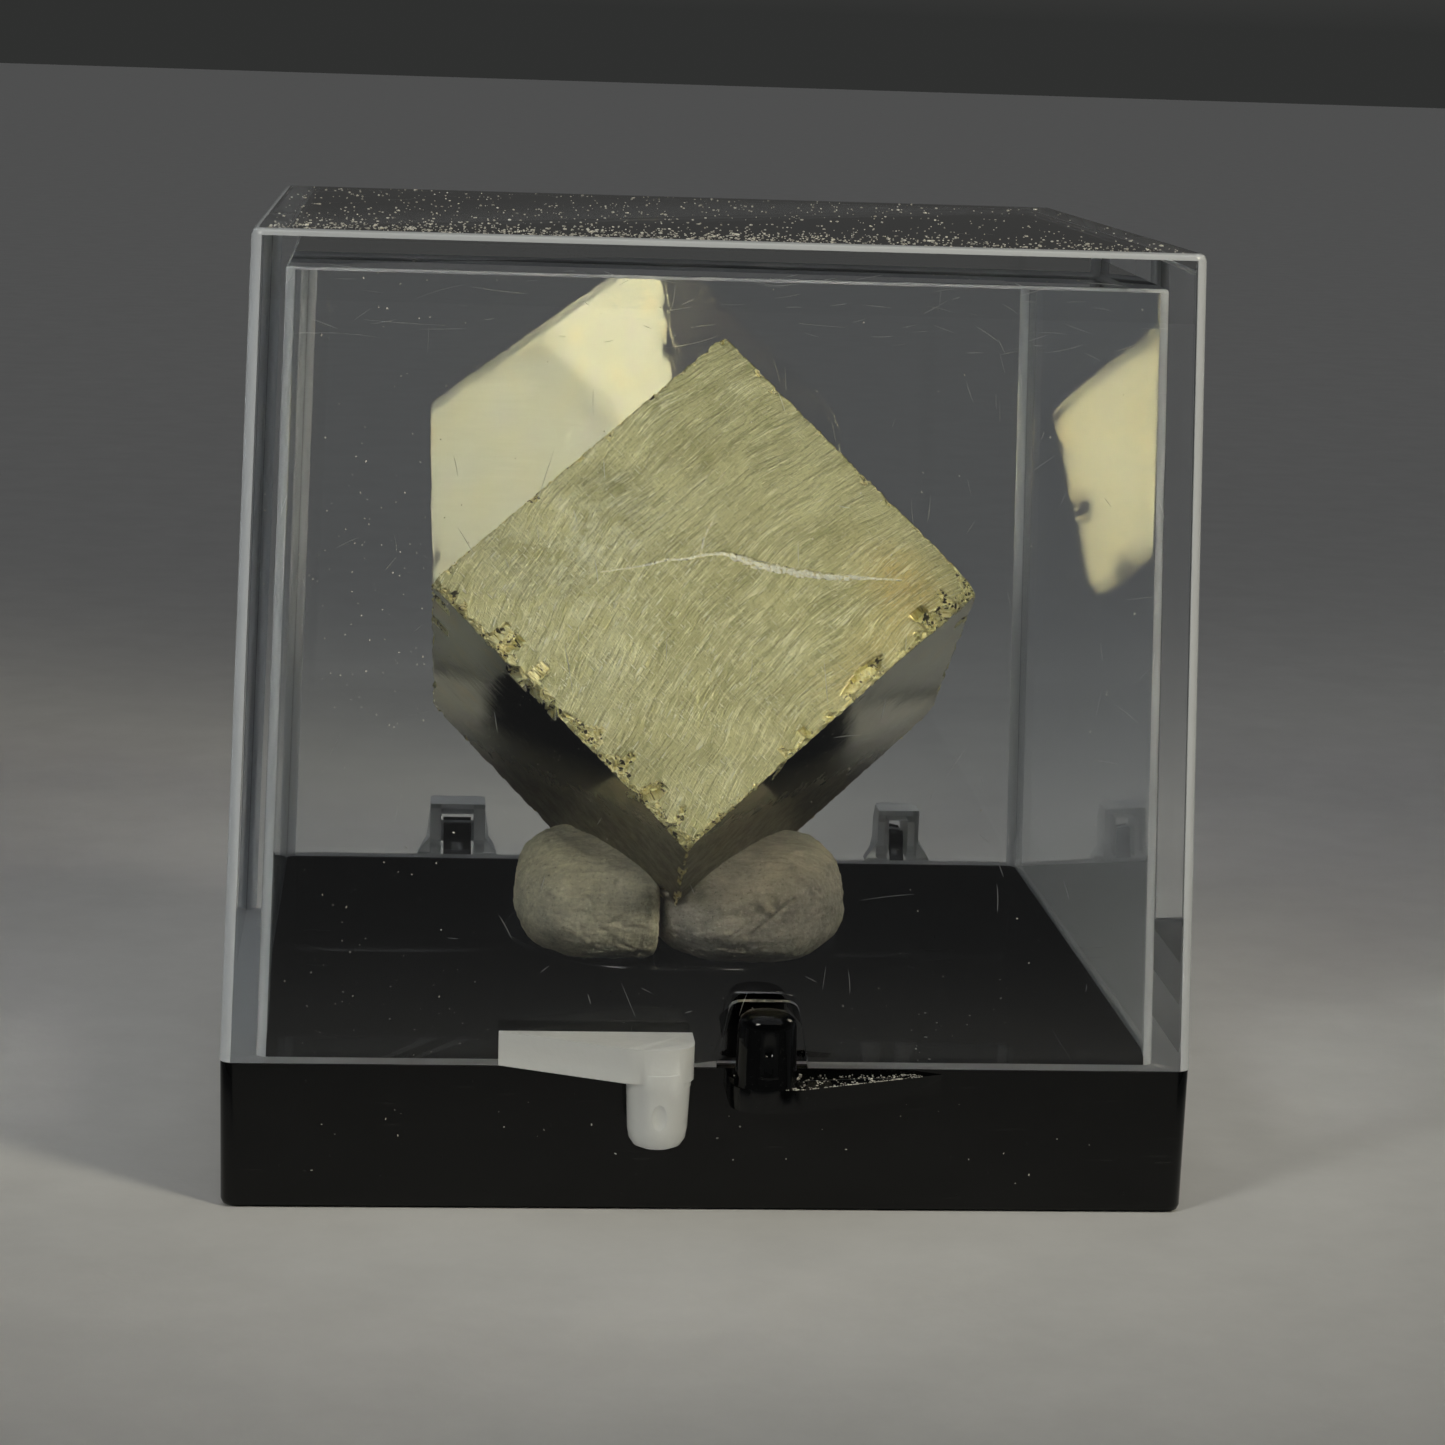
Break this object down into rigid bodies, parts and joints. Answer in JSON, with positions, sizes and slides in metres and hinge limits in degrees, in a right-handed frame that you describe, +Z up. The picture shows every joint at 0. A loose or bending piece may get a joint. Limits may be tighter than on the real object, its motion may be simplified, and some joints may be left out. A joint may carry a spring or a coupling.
{
  "type": "mounted pyrite cube in a display box",
  "caption": "Natural pyrite cube set on a corner in putty on a round pedestal, inside a small black tray with a clear hinged lid that opens by thumb tabs.",
  "frame": {"origin": "centre of the flat underside of the tray, on the surface the box rests on", "axes": "+Z up, -Y towards the latch side with the thumb tabs, +Y towards the hinges, +X to the right seen from the latch side"},
  "size_m": [0.0318, 0.0359, 0.0316],
  "materials": {
    "pyrite": "satin",
    "putty": "matte",
    "black_plastic": "gloss",
    "clear_plastic": "polished"
  },
  "bodies": {
    "base": {"tray_base": "black_plastic", "pedestal": "black_plastic", "putty_left_lobe": "putty", "putty_right_lobe": "putty", "pyrite_crystal": "pyrite"},
    "lid": {"clear_lid": "clear_plastic"}
  },
  "joints": [
    {"name": "lid_hinge", "type": "hinge", "parent": "base", "child": "lid", "pos_m": [0, 0.01705, 0.0056], "axis": [-1, 0, 0], "range_deg": [0, 105]}
  ]
}
